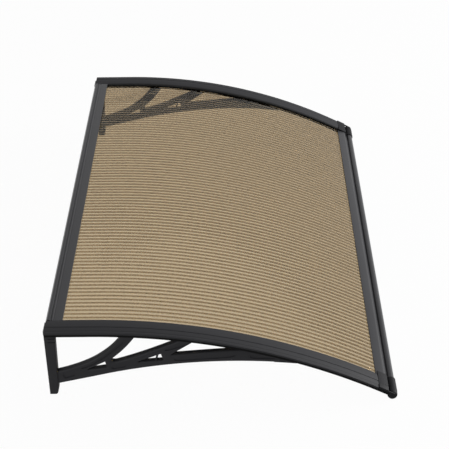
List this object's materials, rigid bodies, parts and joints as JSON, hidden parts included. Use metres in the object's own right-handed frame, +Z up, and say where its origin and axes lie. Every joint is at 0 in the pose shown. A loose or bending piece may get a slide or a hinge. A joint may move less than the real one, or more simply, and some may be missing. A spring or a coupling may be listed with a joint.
{
  "type": "polycarbonate door canopy",
  "caption": "Curved door canopy: a bronze hollow sheet clamped in a charcoal rail and strip frame, carried off the wall on moulded side brackets.",
  "frame": {"origin": "on the rear rail's wall face, at mid width, level with the top face of the sheet", "axes": "+X along the wall, +Y into the wall, +Z up; the canopy reaches out towards -Y"},
  "size_m": [1, 0.6223, 0.1597],
  "materials": {
    "bronze_sheet": "bronze tinted hollow polycarbonate sheet, glossy, lengthwise flutes",
    "frame_charcoal": "charcoal powder-coated aluminium extrusion, satin",
    "bracket_black": "black-grey moulded plastic with a fine grain",
    "seal_rubber": "black extruded sealing strip, dull",
    "screw_zinc": "zinc-plated steel, satin"
  },
  "bodies": {
    "root": {"panel": "bronze_sheet", "bracket_left": "bracket_black", "bracket_right": "bracket_black", "cover_strip_left": "frame_charcoal", "cover_strip_right": "frame_charcoal", "rear_rail": "frame_charcoal", "front_rail": "frame_charcoal", "corner_cap_left": "bracket_black", "corner_cap_right": "bracket_black", "rear_seal": "seal_rubber", "front_seal": "seal_rubber", "upper_seal_left": "seal_rubber", "upper_seal_right": "seal_rubber", "lower_seal_left": "seal_rubber", "lower_seal_right": "seal_rubber", "strip_screw_left_1": "screw_zinc", "strip_screw_left_2": "screw_zinc", "strip_screw_left_3": "screw_zinc", "strip_screw_left_4": "screw_zinc", "strip_screw_left_5": "screw_zinc", "rear_rail_screw_left": "screw_zinc", "front_rail_screw_left": "screw_zinc", "strip_screw_right_1": "screw_zinc", "strip_screw_right_2": "screw_zinc", "strip_screw_right_3": "screw_zinc", "strip_screw_right_4": "screw_zinc", "strip_screw_right_5": "screw_zinc", "rear_rail_screw_right": "screw_zinc", "front_rail_screw_right": "screw_zinc"}
  },
  "joints": []
}
